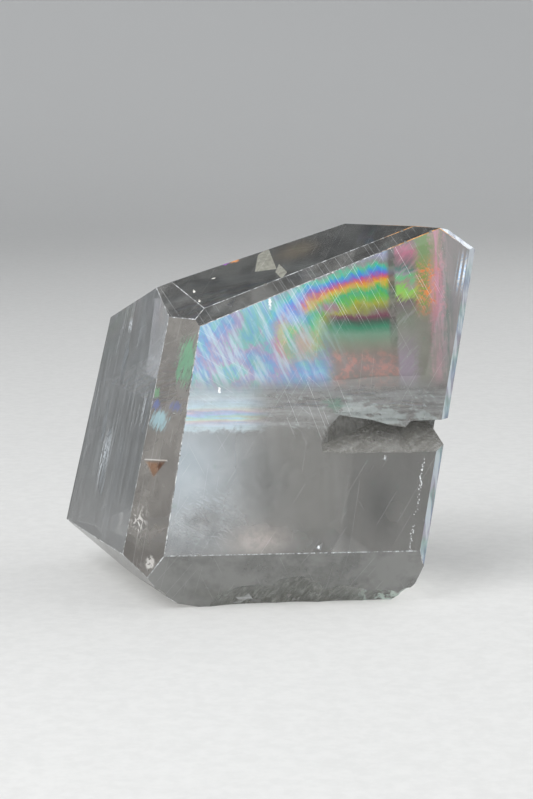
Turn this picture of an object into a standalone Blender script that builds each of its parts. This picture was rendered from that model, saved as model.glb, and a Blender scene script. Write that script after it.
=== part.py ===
"""Polished calcite rhomb: one solid crystal, standing on its lower cleavage face.

The six main faces follow the calcite cleavage rhombohedron.  The other facets are ground
bevels.  A wedge has broken out of the right side and shells have chipped off the front
bottom bevel.  Metres, +Z up, the front face looks towards -Y.
"""
import math

import bmesh
import bpy
from mathutils import Vector

MM = 0.001

# ---------------------------------------------------------------- driving dimensions
PLANE_ANGLE = 78.08          # degrees, acute corner angle of a calcite cleavage face
FACE_LEAN = 15.08            # degrees an upright cleavage face leans off the vertical

# The datum is the lower left corner of the polished front face.
DATUM = Vector((-24.40, -32.93, 11.4)) * MM

# Distances from the datum to the main faces, along each outward normal (mm).
FRONT_OUT = 0.0
LEFT_OUT = 4.5
RIGHT_OUT = 50.1
BACK_OUT = 50.0
BOTTOM_OUT = 11.4

# Ground facets: name, bearing (0 is the front, + to the right), climb, distance (mm).
GROUND_FACETS = (
    ("front left bevel", -54.5, 17.5, -0.1),
    ("front bottom bevel", -0.4, -21.9, 0.0),
    ("front top bevel", -18.5, 47.6, 22.6),
    ("front right bevel", 50.8, -0.2, 39.2),
    ("top right front corner", 42.1, 48.6, 63.6),
    ("top left front corner", -55.2, 52.1, 26.4),
    ("top front facet", -43.7, 64.2, 34.1),
    ("sloping top", -126.7, 68.3, 52.1),
    ("level top", 137.6, 79.1, 70.2),
    ("top right bevel", 108.7, 51.4, 86.6),
    ("left bottom bevel", -76.4, -36.8, 4.7),
    ("left foot bevel", -76.9, -55.6, 6.4),
    ("back left foot corner", -109.2, -76.9, 9.9),
    ("back left bevel", -129.0, 5.4, 44.6),
    ("right bottom bevel", 101.9, -46.4, 40.0),
)

# Even bevels along hidden edges: the two faces and the width of the ground strip (mm).
EVEN_BEVELS = (
    ("back", "right", 2.2),
    ("back", "bottom", 7.0),
    ("back", "sloping top", 5.0),
    ("back", "top right bevel", 3.0),
    ("sloping top", "top right bevel", 3.0),
)

# Broken wedge on the right: points along its upper lip (right of datum, height, mm).
WEDGE_LIP = ((32.0, 20.6), (33.6, 24.0), (35.6, 25.9), (41.9, 24.8), (46.8, 23.4),
             (48.7, 23.1), (50.0, 24.4), (57.5, 24.6))
WEDGE_FLOOR_FRONT = 18.4     # height of the front edge of the broken floor
WEDGE_DEPTH = 15.0           # how far the wedge runs in behind the front face
WEDGE_FLOOR_RISE = 5.4       # climb of the broken floor over that depth
WEDGE_TIP_DEPTH = 3.0        # depth at the closed left end
WEDGE_DEEPENING = 1.6        # full depth is reached at 1 / 1.6 of the way to the right
WEDGE_JAG = 0.5              # every other lip point breaks this much less deep
WEDGE_TIP_LIFT = 0.3         # the floor's rise at the closed left end
WEDGE_END_DROP = 0.1         # the floor's fall at the open right end
WEDGE_SLIT = 0.2             # least gap between the floor and the ceiling at the back
WEDGE_CEILING_FALL = 0.4     # fall of the ceiling from the lip to the back
WEDGE_OVERSHOOT = 4.0        # how far the cutter stands out of the front face
WEDGE_RUN_OUT = 12.0         # how far the cutter runs out past the right side

# Shell-shaped chips: facet, right of datum, height, half length, half rise, depth (mm).
SHELL_CHIPS = (
    ("front bottom bevel", 18.6, -11.6, 9.2, 5.0, 1.4),
    ("front bottom bevel", 26.2, -11.0, 6.6, 6.2, 1.5),
    ("front bottom bevel", 35.6, -11.8, 7.0, 4.4, 1.2),
    ("front bottom bevel", 43.2, -12.0, 5.8, 3.4, 1.1),
    ("front bottom bevel", 49.4, -10.6, 2.6, 2.2, 1.3),
    ("left foot bevel", -1.2, -7.9, 7.5, 1.9, 0.6),
)
CHIP_ROUNDNESS = 2.2         # radius of a shell across its facet, in chip depths
CHIP_DETAIL = 4              # subdivisions of the ball that cuts a shell
CHIP_SEED_STEP = 1.7         # phase between the ripples of one shell and the next
# Ripples on a shell: share of its radius, waves along and up it, phase.
CHIP_RIPPLES = ((0.020, 11.0, 6.0, 1.0), (0.014, -7.0, 17.0, 2.0))

BLOCK_REACH = 0.2            # metres, half size of the rough block before any cut
SAW_TOLERANCE = 1e-7         # metres, a corner this close to a cut lies on it


def facing(bearing, climb):
    """Outward unit normal of a facet from its bearing and its climb, in degrees."""
    turn, rise = math.radians(bearing), math.radians(climb)
    return Vector((math.sin(turn) * math.cos(rise), -math.cos(turn) * math.cos(rise),
                   math.sin(rise)))


def plan_facets():
    """Every facet of the block as name -> (outward normal, distance from the datum)."""
    facets = {
        "front": (facing(0.0, FACE_LEAN), FRONT_OUT * MM),
        "left": (facing(-PLANE_ANGLE, FACE_LEAN), LEFT_OUT * MM),
        "right": (facing(180.0 - PLANE_ANGLE, -FACE_LEAN), RIGHT_OUT * MM),
        "back": (facing(180.0, -FACE_LEAN), BACK_OUT * MM),
        "bottom": (Vector((0.0, 0.0, -1.0)), BOTTOM_OUT * MM),
    }
    for name, bearing, climb, distance in GROUND_FACETS:
        facets[name] = (facing(bearing, climb), distance * MM)
    for one, other, width in EVEN_BEVELS:
        facets[one + " to " + other] = even_bevel(facets[one], facets[other], width * MM)
    return facets


def even_bevel(one, other, width):
    """The facet that takes a strip of this width evenly off the edge of two facets."""
    total = one[0] + other[0]
    half_turn = one[0].angle(other[0]) / 2.0
    cut_back = width / 2.0 * math.tan(half_turn)
    return total.normalized(), (one[1] + other[1]) / total.length - cut_back


def cut_block(facets):
    """Saw a rough block along every facet in turn and return the closed mesh."""
    block = bmesh.new()
    bmesh.ops.create_cube(block, size=2.0 * BLOCK_REACH)
    for normal, distance in facets.values():
        cut = bmesh.ops.bisect_plane(
            block, geom=block.verts[:] + block.edges[:] + block.faces[:], dist=SAW_TOLERANCE,
            plane_co=DATUM + normal * distance, plane_no=normal, clear_outer=True)
        rim = [item for item in cut["geom_cut"] if isinstance(item, bmesh.types.BMEdge)]
        bmesh.ops.contextual_create(block, geom=rim)
    bmesh.ops.recalc_face_normals(block, faces=block.faces[:])
    return block


def wedge_mesh():
    """The broken wedge: a jagged upper lip, a sloping floor and a line where they meet."""
    lean = math.tan(math.radians(FACE_LEAN))
    fall = WEDGE_FLOOR_RISE / WEDGE_DEPTH
    first, last = WEDGE_LIP[0][0], WEDGE_LIP[-1][0]
    front_top, front_floor, deep = [], [], []
    for index, (right, height) in enumerate(WEDGE_LIP):
        along = (right - first) / (last - first)
        deepening = min(1.0, WEDGE_DEEPENING * along)
        reach = WEDGE_TIP_DEPTH + (WEDGE_DEPTH - WEDGE_TIP_DEPTH) * deepening
        reach -= WEDGE_JAG * (index % 2)
        shift = WEDGE_RUN_OUT if index == len(WEDGE_LIP) - 1 else 0.0
        floor = WEDGE_FLOOR_FRONT
        floor += WEDGE_TIP_LIFT if index < 2 else -WEDGE_END_DROP * along
        face = lean * height
        front_top.append((right + shift, face - WEDGE_OVERSHOOT, height))
        front_floor.append((right + shift, lean * floor - WEDGE_OVERSHOOT,
                            floor - fall * WEDGE_OVERSHOOT))
        deep.append((right + shift, lean * floor + reach,
                     min(height - WEDGE_SLIT, floor + fall * reach)))
    deep_top = [(x, y, max(z + WEDGE_SLIT, top[2] - WEDGE_CEILING_FALL))
                for (x, y, z), top in zip(deep, front_top)]
    cutter = bmesh.new()
    rings = []
    for points in zip(front_floor, deep, deep_top, front_top):
        rings.append([cutter.verts.new(DATUM + Vector(point) * MM) for point in points])
    for ring, after in zip(rings, rings[1:]):
        for corner in range(4):
            nxt = (corner + 1) % 4
            cutter.faces.new((ring[corner], ring[nxt], after[nxt], after[corner]))
    cutter.faces.new(rings[0])
    cutter.faces.new(list(reversed(rings[-1])))
    bmesh.ops.triangulate(cutter, faces=cutter.faces[:])
    bmesh.ops.recalc_face_normals(cutter, faces=cutter.faces[:])
    return cutter


def shell_mesh(facet, right, height, half_length, half_rise, depth, seed):
    """A conchoidal chip: a flattened ball with faint ripples, sunk into a facet."""
    normal, distance = facet
    centre = Vector((right, 0.0, height)) * MM
    centre.y = (distance - normal.x * centre.x - normal.z * centre.z) / normal.y
    side = Vector((0.0, 0.0, 1.0)).cross(normal).normalized()
    upward = normal.cross(side)
    across = CHIP_ROUNDNESS * depth
    stand_off = across - depth
    widening = 1.0 / math.sqrt(1.0 - (stand_off / across) ** 2)
    cutter = bmesh.new()
    bmesh.ops.create_icosphere(cutter, subdivisions=CHIP_DETAIL, radius=1.0)
    for vert in cutter.verts:
        way = vert.co.normalized()
        ripple = 1.0
        for height_share, waves_x, waves_y, phase in CHIP_RIPPLES:
            ripple += height_share * math.sin(waves_x * way.x + waves_y * way.y + phase * seed)
        offset = side * way.x * half_length * widening
        offset += upward * way.y * half_rise * widening
        offset += normal * (stand_off + way.z * across)
        vert.co = DATUM + centre + offset * ripple * MM
    return cutter


def add_object(name, mesh_data):
    """Put a bmesh in the scene as an object of this name."""
    mesh = bpy.data.meshes.new(name)
    mesh_data.to_mesh(mesh)
    mesh_data.free()
    item = bpy.data.objects.new(name, mesh)
    bpy.context.scene.collection.objects.link(item)
    return item


def take_away(body, cutter):
    """Cut one object out of the crystal and keep the cutter out of sight."""
    cutter.hide_render = True
    cutter.display_type = "WIRE"
    cut = body.modifiers.new("break " + cutter.name, "BOOLEAN")
    cut.operation = "DIFFERENCE"
    cut.solver = "EXACT"
    cut.object = cutter


def calcite_material():
    """Clear polished calcite with a faint grey tint."""
    material = bpy.data.materials.new("calcite")
    material.use_nodes = True
    shader = material.node_tree.nodes["Principled BSDF"]
    shader.inputs["Base Color"].default_value = (0.72, 0.73, 0.71, 1.0)
    shader.inputs["Metallic"].default_value = 0.0
    shader.inputs["Roughness"].default_value = 0.1
    shader.inputs["IOR"].default_value = 1.6
    return material


def main():
    for item in list(bpy.data.objects):
        bpy.data.objects.remove(item, do_unlink=True)

    facets = plan_facets()
    crystal = add_object("calcite_rhomb", cut_block(facets))
    crystal.data.materials.append(calcite_material())
    take_away(crystal, add_object("broken_wedge", wedge_mesh()))
    for number, (facet, *sizes) in enumerate(SHELL_CHIPS):
        chip = shell_mesh(facets[facet], *sizes, seed=CHIP_SEED_STEP * number)
        take_away(crystal, add_object("shell_chip_%d" % (number + 1), chip))
    for face in crystal.data.polygons:
        face.use_smooth = False


main()
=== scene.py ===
"""Looks for the polished calcite rhomb: the crystal, its inner cracks and colours, and the studio."""

import math
import random

import bmesh
import bpy
from mathutils import Matrix, Vector, noise


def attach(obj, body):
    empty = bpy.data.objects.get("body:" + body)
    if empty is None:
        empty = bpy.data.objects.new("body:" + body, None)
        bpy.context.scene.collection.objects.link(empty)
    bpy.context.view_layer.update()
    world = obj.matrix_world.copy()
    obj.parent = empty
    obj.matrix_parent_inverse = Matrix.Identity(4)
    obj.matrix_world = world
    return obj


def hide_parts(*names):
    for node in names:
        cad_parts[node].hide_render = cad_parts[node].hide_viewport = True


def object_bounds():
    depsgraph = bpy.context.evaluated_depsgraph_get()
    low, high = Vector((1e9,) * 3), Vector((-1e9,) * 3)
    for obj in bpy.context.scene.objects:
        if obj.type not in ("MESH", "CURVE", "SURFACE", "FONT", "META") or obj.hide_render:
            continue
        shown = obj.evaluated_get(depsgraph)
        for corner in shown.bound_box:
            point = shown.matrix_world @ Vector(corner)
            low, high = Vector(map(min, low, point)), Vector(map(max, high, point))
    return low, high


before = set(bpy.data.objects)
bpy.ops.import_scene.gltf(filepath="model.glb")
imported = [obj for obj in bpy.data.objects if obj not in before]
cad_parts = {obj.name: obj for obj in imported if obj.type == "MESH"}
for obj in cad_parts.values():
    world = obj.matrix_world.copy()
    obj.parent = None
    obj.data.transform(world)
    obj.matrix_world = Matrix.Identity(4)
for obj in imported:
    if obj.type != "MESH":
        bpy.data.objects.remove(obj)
cad_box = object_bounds()

MM = 0.001
scene = bpy.context.scene

# Lower left corner of the polished front face. Places below are millimetres from it:
# to the right, to the back and up.
DATUM = Vector((-24.40, -32.93, 11.4)) * MM
PLANE_ANGLE = math.radians(78.08)

# Camera: where its line of sight meets the front face, and where it looks from.
AIM = DATUM + Vector((20.3, 1.4, 29.9)) * MM
CAMERA_DISTANCE = 0.385
CAMERA_AZIMUTH = -8.2
CAMERA_ELEVATION = 8.3
LENS_MM = 90.1

# Broken wedge on the right, which has the rough surfaces (mm from the datum).
WEDGE_LOW = Vector((31.0, 3.0, 17.2))
WEDGE_HIGH = Vector((60.0, 24.0, 26.4))
EDGE_WEAR = 0.20             # mm across the blunted edges
LONG_EDGE = 2.5              # mm; only edges longer than this are blunted and chipped
LARGE_FACET = 8.0            # square mm; and only those between facets larger than this
BROKEN_EDGE = 0.9            # mm; longest edge left on the broken surface
CHIP_SPACING = 5.5           # mm between chips along an edge, on average
CHIP_SIZES = (0.16, 0.20, 0.25, 0.32, 0.42)
SAME_FACET = 0.9985          # cosine above which a face belongs to a facet
NEARLY_SAME_FACET = 0.998
RAINBOW_DEPTH = 1.4          # mm from the front face to the crack behind it
LEVEL_CRACK_HEIGHT = 26.6    # mm above the datum
CRACK_THICKNESS = 0.05       # mm
CALCITE_INDEX = 1.6          # mean of the two refractive indices
POLISHED_TO_LAMPS = (0.74, 0.74, 0.735)   # tint of the light that polished faces let in
ROUGH_TO_LAMPS = (0.7, 0.7, 0.7)
WALL_RADIUS = 2.4            # the pale sheet behind and around, in metres
WALL_CURVE = 1.2
WALL_HEIGHT = 2.0
SHELL_FACE_AREA = 2.0        # square mm; smaller faces than this belong to the shell chips


def place(right, back, up):
    """A point given in millimetres from the datum."""
    return DATUM + Vector((right, back, up)) * MM


def facing(bearing, climb):
    """Unit vector from a bearing (0 is the front, + to the right) and a climb, in degrees."""
    turn, rise = math.radians(bearing), math.radians(climb)
    return Vector((math.sin(turn) * math.cos(rise), -math.cos(turn) * math.cos(rise), math.sin(rise)))


FACETS = {
    "front": (facing(0.0, 15.08), 0.0),
    "left": (facing(-78.08, 15.08), 4.5),
    "right": (facing(101.92, -15.08), 50.1),
    "front left bevel": (facing(-54.5, 17.5), -0.1),
    "front bottom bevel": (facing(-0.4, -21.9), 0.0),
    "front top bevel": (facing(-18.5, 47.6), 22.6),
    "top front facet": (facing(-43.7, 64.2), 34.1),
}


def under(facet, right, up, depth):
    """The point this deep under a facet, straight behind (right, up) on it, in metres."""
    normal, distance = FACETS[facet]
    back = (distance - normal.x * right - normal.z * up) / normal.y
    return place(right, back, up) - normal * depth * MM


# ------------------------------------------------------------------ object helpers
def add_object(name, data):
    item = bpy.data.objects.new(name, data)
    scene.collection.objects.link(item)
    return item


def finish_piece(item, *materials):
    """Give a piece its materials and fasten it to the crystal's body."""
    for material in materials:
        item.data.materials.append(material)
    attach(item, "root")
    return item


def from_bmesh(name, work):
    mesh = bpy.data.meshes.new(name)
    work.to_mesh(mesh)
    work.free()
    return add_object(name, mesh)


# ------------------------------------------------------------------ shader helpers
class Graph:
    """Short names for the nodes of one material."""

    def __init__(self, name):
        self.material = bpy.data.materials.new(name)
        self.material.use_nodes = True
        self.tree = self.material.node_tree
        self.shader = self.tree.nodes["Principled BSDF"]
        self.output = self.tree.nodes["Material Output"]
        self.origin = self.node("TexCoord").outputs["Object"]

    def node(self, kind, **settings):
        made = self.tree.nodes.new("ShaderNode" + kind)
        for key, value in settings.items():
            setattr(made, key, value)
        return made

    def put(self, socket, value):
        if isinstance(value, bpy.types.NodeSocket):
            self.tree.links.new(value, socket)
        elif value is not None:
            socket.default_value = value

    def math(self, operation, first, second=None, third=None, clamp=False):
        made = self.node("Math", operation=operation, use_clamp=clamp)
        for socket, value in zip(made.inputs, (first, second, third)):
            self.put(socket, value)
        return made.outputs[0]

    def plus(self, first, second):
        return self.math("ADD", first, second)

    def minus(self, first, second):
        return self.math("SUBTRACT", first, second)

    def times(self, first, second):
        return self.math("MULTIPLY", first, second)

    def over(self, first, second):
        return self.math("DIVIDE", first, second)

    def larger(self, first, second):
        return self.math("MAXIMUM", first, second)

    def swing(self, value, size=1.0):
        """A noise value moved to lie about zero, then made this many times larger."""
        about_zero = self.minus(value, 0.5)
        return about_zero if size == 1.0 else self.times(about_zero, size)

    def set(self, name, value):
        """Give a socket of the main shader a number, a colour or a link."""
        self.put(self.shader.inputs[name], value)

    def millimetres(self):
        """Object coordinates as millimetres from the datum."""
        shift = self.node("VectorMath", operation="SUBTRACT")
        self.put(shift.inputs[0], self.origin)
        shift.inputs[1].default_value = DATUM
        grow = self.node("VectorMath", operation="SCALE")
        self.put(grow.inputs[0], shift.outputs[0])
        grow.inputs["Scale"].default_value = 1.0 / MM
        return grow.outputs[0]

    def split(self, vector):
        made = self.node("SeparateXYZ")
        self.put(made.inputs[0], vector)
        return made.outputs

    def mapped(self, vector, scale=(1, 1, 1), rotation=(0, 0, 0), shift=(0, 0, 0)):
        """Turn, stretch and shift coordinates."""
        made = self.node("Mapping", vector_type="TEXTURE")
        self.put(made.inputs["Vector"], vector)
        made.inputs["Location"].default_value = shift
        made.inputs["Rotation"].default_value = rotation
        made.inputs["Scale"].default_value = scale
        return made.outputs[0]

    def noise(self, vector, scale=1.0, detail=3.0, rough=0.5, bend=0.0):
        made = self.node("TexNoise")
        self.put(made.inputs["Vector"], vector)
        made.inputs["Scale"].default_value = scale
        made.inputs["Detail"].default_value = detail
        made.inputs["Roughness"].default_value = rough
        made.inputs["Distortion"].default_value = bend
        return made.outputs["Fac"]

    def streaks(self, vector, stretch, turn=(0, 0, 0), detail=4.0, rough=0.6, bend=0.0):
        """Noise drawn out along the axes; stretch is the size of its grain in mm."""
        return self.noise(self.mapped(vector, stretch, turn), 1.0, detail, rough, bend)

    def span(self, value, low, high, to_low=0.0, to_high=1.0):
        """Smoothly map low..high to to_low..to_high and hold it outside."""
        made = self.node("MapRange", interpolation_type="SMOOTHSTEP")
        for key, setting in (("Value", value), ("From Min", low), ("From Max", high),
                             ("To Min", to_low), ("To Max", to_high)):
            self.put(made.inputs[key], setting)
        return made.outputs["Result"]

    def ramp(self, value, stops):
        made = self.node("ValToRGB")
        self.put(made.inputs["Fac"], value)
        ramp = made.color_ramp
        while len(ramp.elements) < len(stops):
            ramp.elements.new(0.5)
        for element, (position, colour) in zip(ramp.elements, stops):
            element.position = position
            element.color = (*colour, 1.0)
        return made.outputs["Color"]

    def blend(self, factor, first, second, mode="MIX"):
        made = self.node("Mix", data_type="RGBA", blend_type=mode)
        self.put(made.inputs["Factor"], factor)
        self.put(made.inputs[6], rgba(first))
        self.put(made.inputs[7], rgba(second))
        return made.outputs[2]

    def near(self, vector, centre, radii):
        """1 at a centre given in mm, falling smoothly to 0 at the ellipsoid of these radii."""
        shift = self.node("VectorMath", operation="SUBTRACT")
        self.put(shift.inputs[0], vector)
        shift.inputs[1].default_value = centre
        shrink = self.node("VectorMath", operation="DIVIDE")
        self.put(shrink.inputs[0], shift.outputs[0])
        shrink.inputs[1].default_value = radii
        length = self.node("VectorMath", operation="LENGTH")
        self.put(length.inputs[0], shrink.outputs[0])
        return self.span(length.outputs["Value"], 1.0, 0.0)

    def bump(self, height, strength, depth_mm, before=None):
        made = self.node("Bump")
        made.inputs["Strength"].default_value = strength
        made.inputs["Distance"].default_value = depth_mm * MM
        self.put(made.inputs["Height"], height)
        if before is not None:
            self.put(made.inputs["Normal"], before)
        return made.outputs["Normal"]

    def let_lamps_in(self, tint):
        """Rays towards lamps pass the surface with this tint, so that the inside is lit."""
        clear = self.node("BsdfTransparent")
        clear.inputs["Color"].default_value = (*tint, 1.0)
        rays = self.node("LightPath")
        both = self.node("MixShader")
        self.put(both.inputs[0], rays.outputs["Is Shadow Ray"])
        self.put(both.inputs[1], self.shader.outputs[0])
        self.put(both.inputs[2], clear.outputs[0])
        self.put(self.output.inputs["Surface"], both.outputs[0])


def rgba(value):
    return (*value, 1.0) if isinstance(value, tuple) and len(value) == 3 else value


# Colours of the bright arcs, by distance in mm from their common centre; the arcs are wider
# than high. PASTELS and SPECTRUM are cycles. PANEL_COLOURS and LOWER_COLOURS go by height in mm.
ARC_CENTRE = (46.8, 37.4)
ARC_WIDENING = 1.6
ARC_REACH = 24.0
ARC_COLOURS = (
    (0.0, (0.28, 0.25, 0.22)), (2.4, (0.30, 0.29, 0.24)), (3.8, (0.16, 0.34, 0.22)),
    (5.2, (0.06, 0.28, 0.17)), (6.0, (0.14, 0.14, 0.12)), (7.2, (0.25, 0.09, 0.13)),
    (8.4, (0.28, 0.21, 0.16)), (9.2, (0.32, 0.32, 0.07)), (10.2, (0.46, 0.48, 0.04)),
    (11.2, (0.14, 0.56, 0.06)), (12.3, (0.03, 0.50, 0.22)), (13.1, (0.36, 0.54, 0.05)),
    (13.7, (0.80, 0.52, 0.03)), (14.3, (0.82, 0.22, 0.05)), (14.9, (0.56, 0.10, 0.34)),
    (15.5, (0.20, 0.16, 0.72)), (16.2, (0.03, 0.38, 0.80)), (17.0, (0.06, 0.62, 0.36)),
    (17.9, (0.26, 0.28, 0.27)), (19.4, (0.36, 0.36, 0.58)), (21.0, (0.22, 0.48, 0.68)),
    (24.0, (0.36, 0.48, 0.70)))
PASTELS = ((0.0, (0.34, 0.36, 0.58)), (0.2, (0.22, 0.38, 0.66)), (0.4, (0.22, 0.50, 0.62)),
           (0.6, (0.24, 0.54, 0.48)), (0.8, (0.43, 0.37, 0.54)), (1.0, (0.34, 0.36, 0.58)))
SPECTRUM = ((0.0, (0.54, 0.22, 0.30)), (0.2, (0.62, 0.44, 0.20)), (0.4, (0.38, 0.56, 0.30)),
            (0.6, (0.16, 0.48, 0.62)), (0.8, (0.24, 0.28, 0.66)), (1.0, (0.54, 0.22, 0.30)))
PANEL_COLOURS = (
    (36.0, (0.36, 0.31, 0.36)), (41.0, (0.30, 0.30, 0.27)), (44.0, (0.24, 0.27, 0.21)),
    (47.4, (0.22, 0.17, 0.18)), (48.4, (0.42, 0.60, 0.15)), (49.6, (0.30, 0.68, 0.15)),
    (50.6, (0.44, 0.32, 0.32)), (51.8, (0.18, 0.60, 0.28)), (52.8, (0.40, 0.36, 0.42)),
    (53.8, (0.12, 0.26, 0.22)), (54.6, (0.26, 0.22, 0.23)), (57.0, (0.60, 0.24, 0.34)),
    (59.0, (0.30, 0.27, 0.26)))
LOWER_COLOURS = (
    (33.0, (0.30, 0.27, 0.25)), (35.0, (0.34, 0.28, 0.27)), (37.4, (0.30, 0.26, 0.23)),
    (39.4, (0.27, 0.31, 0.24)), (41.2, (0.22, 0.37, 0.27)), (42.6, (0.07, 0.28, 0.17)),
    (43.6, (0.08, 0.15, 0.11)), (44.6, (0.22, 0.08, 0.12)), (46.0, (0.24, 0.16, 0.14)))
SPARKS = ((0.3, (0.80, 0.12, 0.10)), (0.42, (0.90, 0.38, 0.10)), (0.5, (0.48, 0.33, 0.21)),
          (0.57, (0.22, 0.38, 0.10)), (0.7, (0.62, 0.52, 0.06)))

# White bruises on the front face: right, up, half width and half height in mm.
BRUISES = ((12.0, 30.8, 0.6, 1.4), (30.4, 0.8, 0.5, 0.7), (22.6, 47.4, 0.6, 2.6),
           (44.3, 17.4, 0.22, 0.9))


def scratches(g, a, b, angle, spacing, width, share, seed):
    """Straight scratches on the plane (a, b): 1 on a line and 0 elsewhere. All lengths in mm."""
    turn = math.radians(angle)
    along = g.plus(g.times(a, math.cos(turn)), g.times(b, math.sin(turn)))
    across = g.minus(g.times(b, math.cos(turn)), g.times(a, math.sin(turn)))
    bend = g.times(g.math("SINE", g.times(along, 0.06)), 0.6)
    lanes = g.over(g.plus(across, bend), spacing)
    lane = g.math("FLOOR", lanes)
    off = g.math("ABSOLUTE", g.minus(g.minus(lanes, lane), 0.5))
    line = g.span(off, width / spacing, 0.0)
    pick = g.node("TexWhiteNoise", noise_dimensions="1D")
    g.put(pick.inputs["W"], g.plus(lane, seed))
    kept = g.math("LESS_THAN", pick.outputs["Value"], share)
    where = g.node("CombineXYZ")
    g.put(where.inputs[0], g.times(along, 0.11))
    g.put(where.inputs[1], g.times(lane, 7.3))
    g.put(where.inputs[2], seed)
    reach = g.span(g.noise(where.outputs[0], 1.0, 1.0), 0.50, 0.58)
    return g.times(g.times(line, kept), reach)


def most(g, values):
    result = values[0]
    for value in values[1:]:
        result = g.larger(result, value)
    return result


def inside(g, a, b, corners, soft=0.15):
    """1 inside a convex outline on the plane (a, b), listed anticlockwise, and 0 outside."""
    result = None
    for (x0, y0), (x1, y1) in zip(corners, corners[1:] + corners[:1]):
        size = math.hypot(x1 - x0, y1 - y0)
        nx, ny = -(y1 - y0) / size, (x1 - x0) / size
        depth = g.plus(g.times(a, nx), g.times(b, ny))
        depth = g.minus(depth, nx * x0 + ny * y0)
        result = depth if result is None else g.math("MINIMUM", result, depth)
    return g.span(result, 0.0, soft)


def stops(table, low, high):
    """Turn a colour table in mm into ramp positions."""
    return [((value - low) / (high - low), colour) for value, colour in table]


def by_height(g, height, table):
    """A ramp over heights given in mm."""
    low, high = table[0][0], table[-1][0]
    return g.ramp(g.over(g.minus(height, low), high - low), stops(table, low, high))


def arc_colours(g, mm, warp, grain, comb, height):
    """Pastels on the left that turn into bright arcs on the right."""
    right, _, up = g.split(mm)
    across = g.over(g.minus(right, ARC_CENTRE[0]), ARC_WIDENING)
    above = g.minus(up, ARC_CENTRE[1])
    radius = g.math("SQRT", g.plus(g.times(across, across), g.times(above, above)))
    radius = g.plus(g.plus(radius, warp), grain)
    arcs = g.ramp(g.over(radius, ARC_REACH), stops(ARC_COLOURS, 0.0, ARC_REACH))
    hue = g.times(g.noise(mm, 0.10, 5.0, 0.6, 0.5), 4.0)
    pastel = g.ramp(g.math("FRACT", g.plus(hue, g.swing(comb, 1.1))), PASTELS)
    near_arcs = g.times(g.span(right, 19.0, 27.0), g.span(up, 34.0, 39.0))
    colour = g.blend(near_arcs, pastel, g.blend(0.55, pastel, arcs))
    bright = g.times(g.span(right, 26.0, 35.5), g.span(height, 41.5, 45.0))
    arcs = g.blend(g.span(comb, 0.36, 0.66, 0.06, 0.34), arcs, (0.33, 0.36, 0.34))
    colour = g.blend(bright, colour, arcs)
    for centre, radii, tone in (((27.6, 12, 44.8), (5.6, 40, 3.6), (0.08, 0.34, 0.80)),
                                ((34.6, 12, 46.2), (5.0, 40, 2.4), (0.54, 0.14, 0.36)),
                                ((29.0, 11, 39.6), (4.4, 40, 6.0), (0.62, 0.36, 0.36))):
        spot = g.plus(g.near(mm, centre, radii), g.times(grain, 0.55))
        colour = g.blend(g.times(g.span(spot, 0.15, 1.1), 0.75), colour, tone)
    return colour


def column_colours(g, mm, colour, grain, height):
    """Under and right of the arcs: a dusky strip, a banded panel, orange sparks and a pink strip."""
    right, _, up = g.split(mm)
    slash = g.swing(g.streaks(mm, (0.5, 30.0, 5.0), (0.0, 0.75, 0.0)))
    panel = by_height(g, g.plus(height, g.times(slash, 7.0)), PANEL_COLOURS)
    panel = g.blend(g.span(slash, 0.02, 0.14, 0.0, 0.5), panel, (0.42, 0.44, 0.42))
    rose = g.times(g.span(g.noise(mm, 0.5, 4.0, 0.65), 0.45, 0.65), g.span(up, 39.0, 36.0))
    lower = by_height(g, height, LOWER_COLOURS)
    lower = g.blend(g.times(rose, 0.45), lower, (0.80, 0.34, 0.28))
    dusk = g.span(g.noise(mm, 0.6, 4.0, 0.6), 0.4, 0.6)
    dusk = g.blend(dusk, (0.15, 0.14, 0.13), (0.25, 0.24, 0.22))
    leaf = g.plus(right, g.times(g.plus(grain, slash), 0.4))
    colour = g.blend(g.times(g.span(leaf, 32.0, 36.0), g.span(height, 45.4, 44.4)), colour, lower)
    colour = g.blend(g.times(g.span(leaf, 46.0, 47.0), g.span(up, 37.0, 45.0, 0.25, 0.9)), colour, dusk)
    colour = g.blend(g.span(leaf, 47.6, 48.4), colour, panel)
    field = g.noise(mm, 1.3, 4.0, 0.7)
    sparks = g.ramp(field, SPARKS)
    sparks = g.blend(g.span(height, 48.0, 43.0), sparks, (0.28, 0.28, 0.24))
    sparks = g.blend(g.span(height, 53.0, 57.0), sparks, (0.26, 0.38, 0.19))
    ragged = g.plus(right, g.swing(field, 4.0))
    ragged = g.minus(ragged, g.times(g.minus(up, 50.0), 0.03))
    colour = g.blend(g.span(ragged, 51.0, 53.4), colour, sparks)
    drape = g.streaks(mm, (0.7, 30.0, 7.0), rough=0.65)
    pink = g.times(g.span(up, 40.0, 49.0, 0.5, 1.0), g.span(drape, 0.34, 0.60, 0.35, 1.0))
    colour = g.blend(g.times(g.span(ragged, 54.2, 56.2), pink), colour, (0.66, 0.36, 0.44))
    hem = g.blend(g.span(drape, 0.40, 0.60), (0.20, 0.25, 0.22), (0.36, 0.33, 0.33))
    colour = g.blend(g.times(g.span(ragged, 56.4, 58.6), 0.9), colour, hem)
    return g.blend(g.times(g.span(right, 58.0, 60.0), 0.8), colour, (0.34, 0.32, 0.32))


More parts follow.
